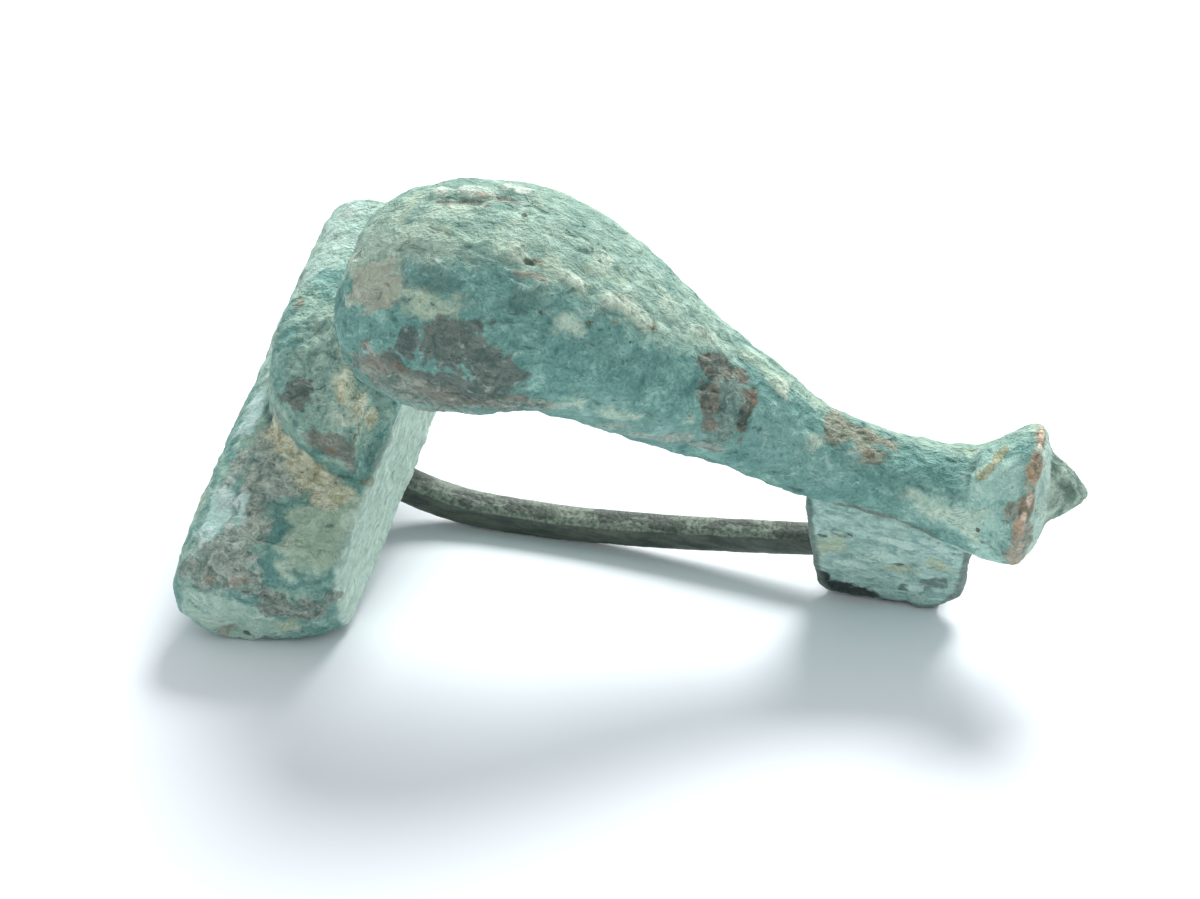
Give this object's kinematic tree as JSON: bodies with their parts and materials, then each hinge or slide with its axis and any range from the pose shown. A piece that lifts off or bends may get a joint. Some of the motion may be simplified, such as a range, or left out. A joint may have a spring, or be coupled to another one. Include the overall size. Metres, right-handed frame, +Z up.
{
  "type": "hinged bow brooch",
  "caption": "Ancient bronze bow brooch with a thick cross-bar head, bulbous bow, disc-and-cone foot, catchplate and a hinged pin, heavily patinated.",
  "frame": {"origin": "on the surface the brooch lies on, under the middle of its outline", "axes": "+X from the head to the foot, +Z up, in the pose in which it lies: rolled onto the near end of its head"},
  "size_m": [0.0466, 0.0278, 0.0236],
  "materials": {
    "patinated_bronze": "matt blue-green corrosion with grey-brown crusts and worn copper-coloured edges",
    "axle_corrosion": "matt rust-brown corrosion",
    "pin_bronze": "dull dark olive-grey patina"
  },
  "bodies": {
    "brooch": {"bow_casting": "patinated_bronze", "hinge_axle": "axle_corrosion"},
    "pin": {"pin": "pin_bronze"}
  },
  "joints": [
    {"name": "pin_hinge", "type": "hinge", "parent": "brooch", "child": "pin", "pos_m": [-0.0187, 0.0012, 0.00628], "axis": [0.0308, 0.9238, 0.3816], "range_deg": [0, 80]}
  ]
}
